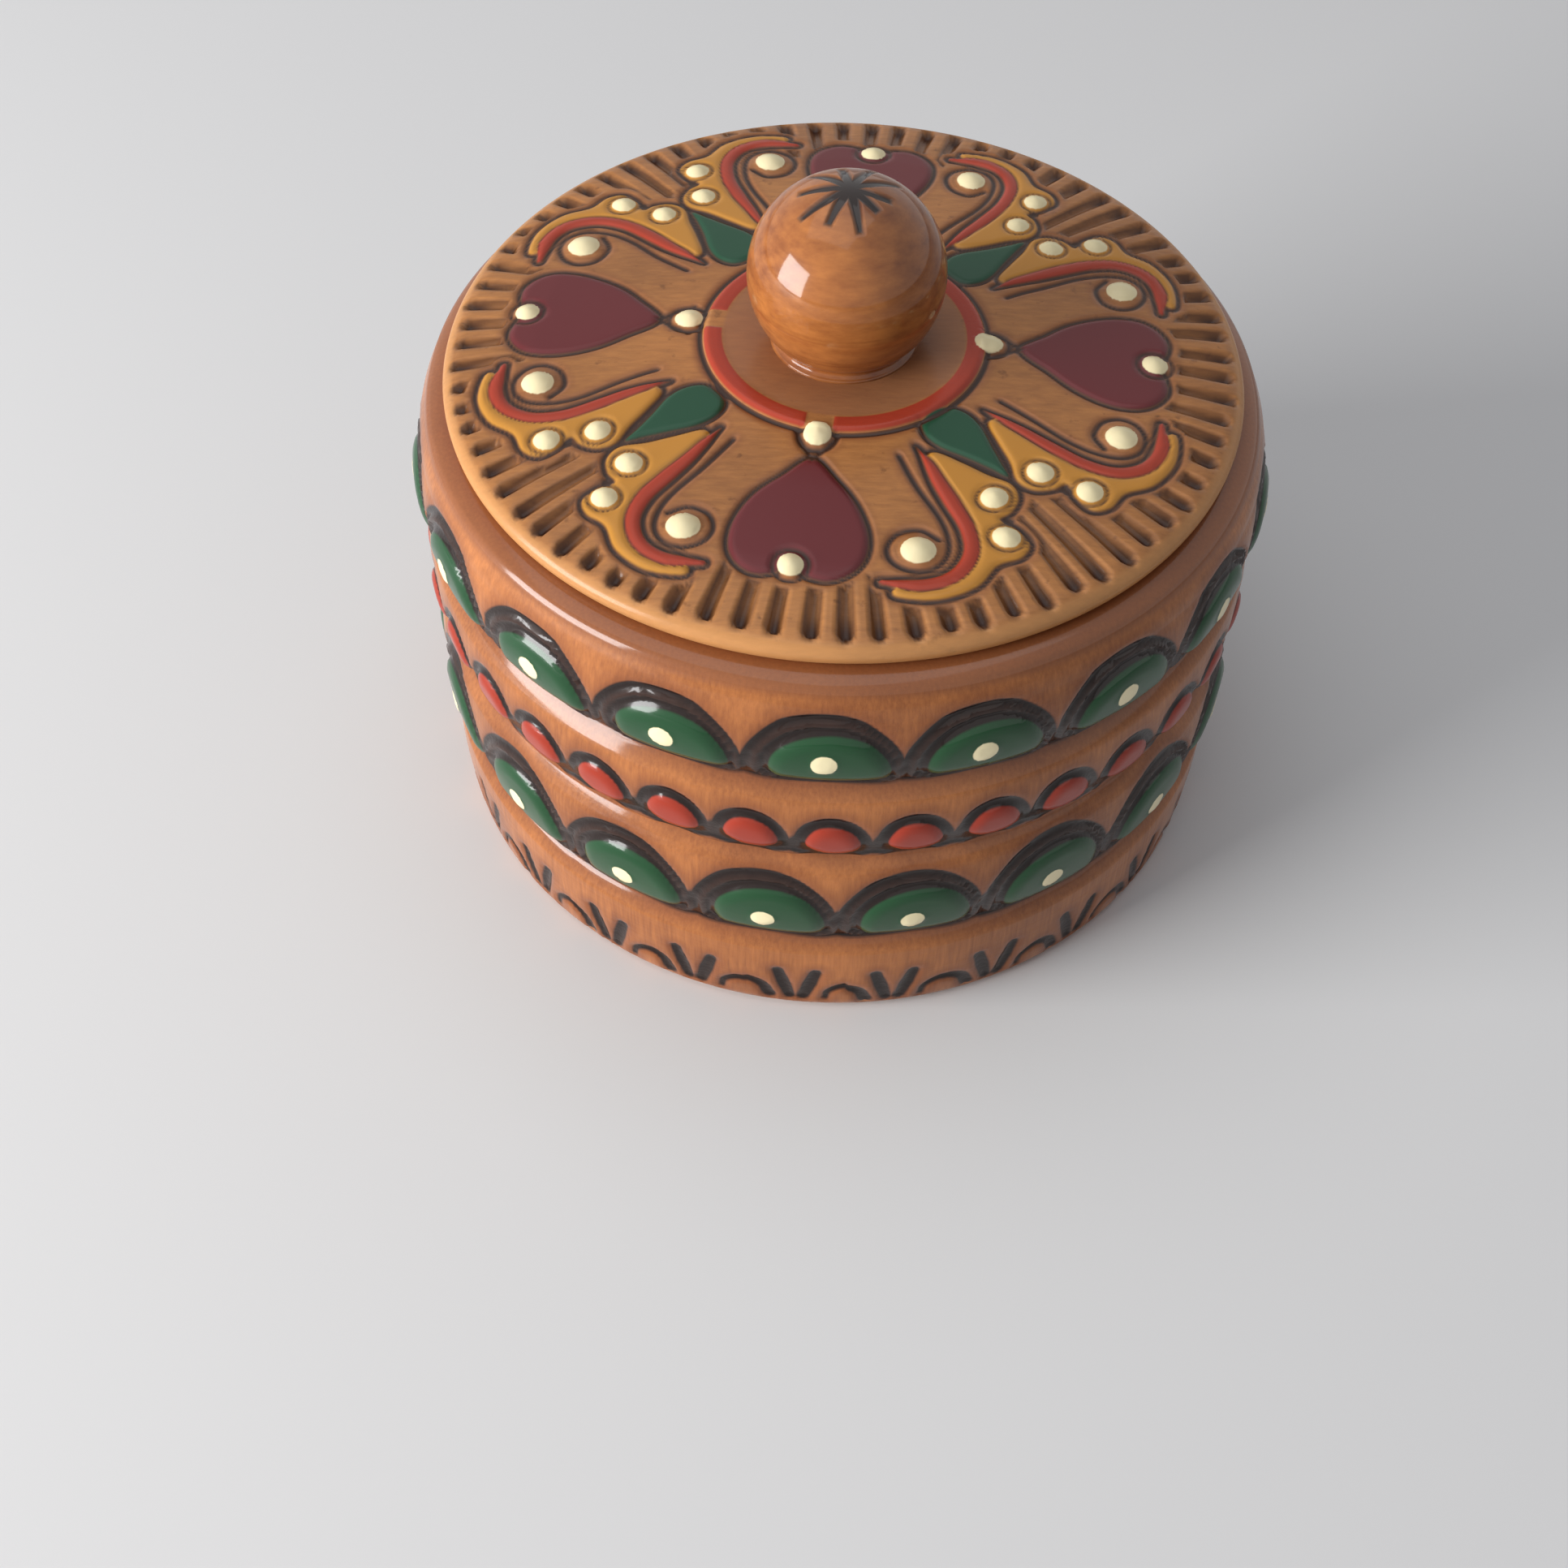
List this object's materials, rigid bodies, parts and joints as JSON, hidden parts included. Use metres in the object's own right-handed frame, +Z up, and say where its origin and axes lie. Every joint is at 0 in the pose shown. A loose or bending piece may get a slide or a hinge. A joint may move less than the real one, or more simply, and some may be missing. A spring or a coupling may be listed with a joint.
{
  "type": "round wooden box",
  "caption": "Round turned wooden trinket box with a lift-off domed lid and a ball knob, banded body with carved petals and a grooved lid rim.",
  "frame": {"origin": "centre of the flat base on the turning axis", "axes": "+Z up the turning axis towards the knob; -Y towards the camera of the reference picture"},
  "size_m": [0.0836, 0.0836, 0.0698],
  "materials": {
    "body_wood": "burnt line work and enamel painted petals under gloss varnish",
    "lid_wood": "burnt line work and enamel painted motifs under gloss varnish",
    "knob_wood": "turned light wood with a burnt star, gloss varnish"
  },
  "bodies": {
    "body": {"box_body": "body_wood"},
    "lid_body": {"lid": "lid_wood", "knob": "knob_wood"}
  },
  "joints": [
    {"name": "lid_lift", "type": "slide", "parent": "body", "child": "lid_body", "axis": [0, 0, 1], "range_m": [0, 0.09]}
  ]
}
